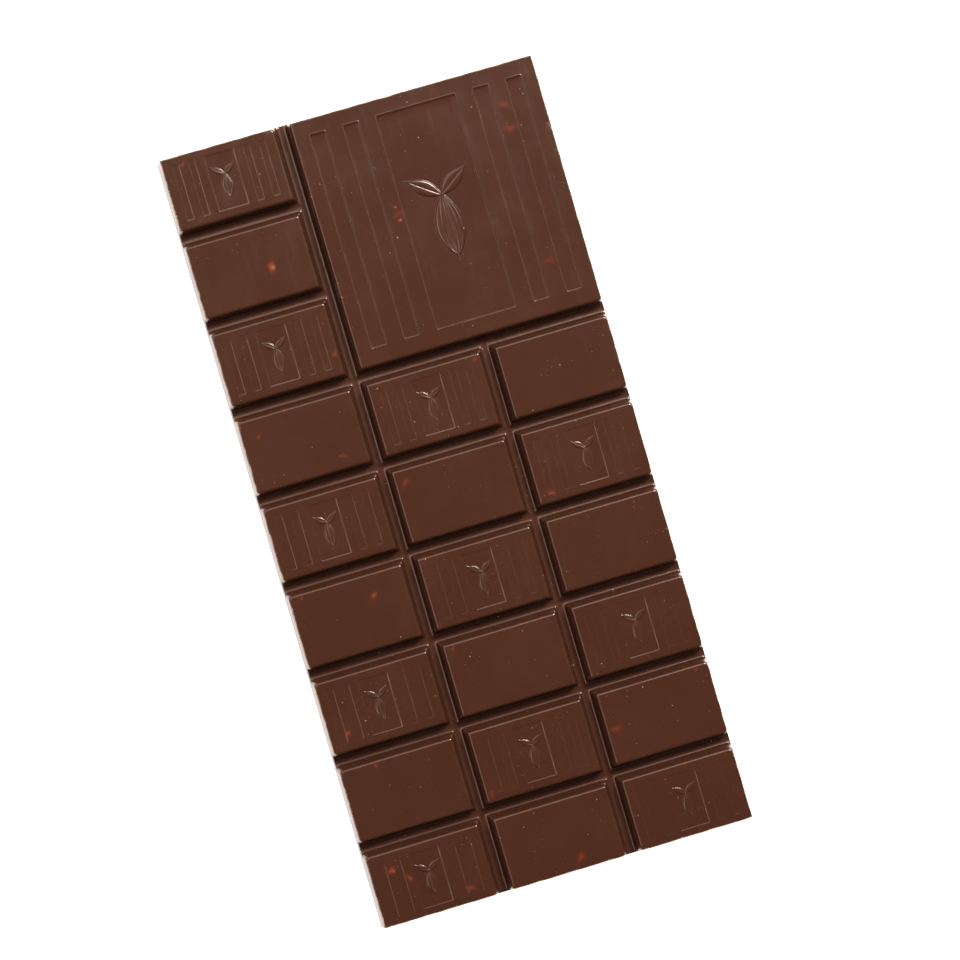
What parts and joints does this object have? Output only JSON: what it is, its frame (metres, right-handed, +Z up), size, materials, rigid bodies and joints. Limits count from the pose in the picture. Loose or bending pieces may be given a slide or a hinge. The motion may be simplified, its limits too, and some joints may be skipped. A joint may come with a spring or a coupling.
{
  "type": "chocolate bar",
  "caption": "Moulded dark chocolate tablet, flat back, grooved into small oblong segments with one large panel in a corner, shallow stripe and cocoa pod relief on some faces",
  "frame": {"origin": "middle of the flat poured back, on the surface that the bar rests on", "axes": "+Y along the bar's length towards the end with the large panel, +X across its width towards the side with the large panel, +Z up through the thickness towards the moulded face"},
  "size_m": [0.0778, 0.1596, 0.0072],
  "materials": {
    "dark_chocolate": "satin, dark brown, semi-gloss moulded face and duller poured back"
  },
  "bodies": {
    "root": {"chocolate_bar": "dark_chocolate"}
  },
  "joints": []
}
